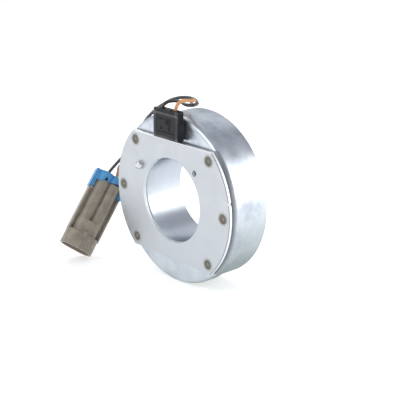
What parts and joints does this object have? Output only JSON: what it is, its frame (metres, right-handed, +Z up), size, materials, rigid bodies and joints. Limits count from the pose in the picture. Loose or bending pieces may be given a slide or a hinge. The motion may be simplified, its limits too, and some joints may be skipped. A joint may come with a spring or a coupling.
{
  "type": "electromagnetic clutch field coil",
  "caption": "Ring-shaped electromagnetic clutch field coil: plated steel shell on a welded mounting plate, terminal block, short leads and a sealed connector with a sliding lock.",
  "frame": {"origin": "centre of the bore at the mounting plate's outer face", "axes": "+Y along the bore axis from the mounting plate to the open pole face, +Z up towards the terminal block"},
  "size_m": [0.1342, 0.0596, 0.1146],
  "materials": {
    "zinc_plated_steel": "bright zinc plate, fine turned grain",
    "weld_spot": "heat-darkened resistance weld marks",
    "bright_pin_steel": "bright, domed",
    "enamelled_copper": "enamelled copper wire",
    "tinned_terminal": "tin plate",
    "black_nylon": "moulded, fine grain",
    "diode_epoxy": "epoxy body",
    "natural_nylon": "natural nylon",
    "winding_tape": "polyester tape",
    "potting_resin": "cast epoxy",
    "grommet_rubber": "moulded rubber",
    "seal_silicone": "silicone",
    "grey_connector_plastic": "moulded, satin",
    "blue_lock_plastic": "moulded, satin",
    "black_lead_insulation": "extruded insulation",
    "tan_lead_insulation": "extruded insulation"
  },
  "bodies": {
    "coil_assembly": {"field_shell": "zinc_plated_steel", "mounting_plate": "zinc_plated_steel", "spot_weld_1": "weld_spot", "spot_weld_2": "weld_spot", "spot_weld_3": "weld_spot", "spot_weld_4": "weld_spot", "spot_weld_5": "weld_spot", "spot_weld_6": "weld_spot", "locating_pin": "bright_pin_steel", "bobbin": "natural_nylon", "winding": "enamelled_copper", "winding_tape": "winding_tape", "potting_resin": "potting_resin", "coil_tail_1": "enamelled_copper", "coil_tail_2": "enamelled_copper", "window_grommet": "grommet_rubber", "terminal_block_body": "black_nylon", "terminal_block_cover": "black_nylon", "splice_sleeve_1": "tinned_terminal", "splice_sleeve_2": "tinned_terminal", "suppression_diode": "diode_epoxy", "lead_black": "black_lead_insulation", "lead_tan": "tan_lead_insulation", "connector_housing": "grey_connector_plastic", "terminal_pin_1": "tinned_terminal", "terminal_pin_2": "tinned_terminal", "wire_seal_1": "seal_silicone", "wire_seal_2": "seal_silicone"},
    "lock_slider": {"secondary_lock": "blue_lock_plastic"}
  },
  "joints": [
    {"name": "lock_slide", "type": "slide", "parent": "coil_assembly", "child": "lock_slider", "axis": [-0.1, 0.6539, 0.7499], "range_m": [0, 0.005]}
  ]
}
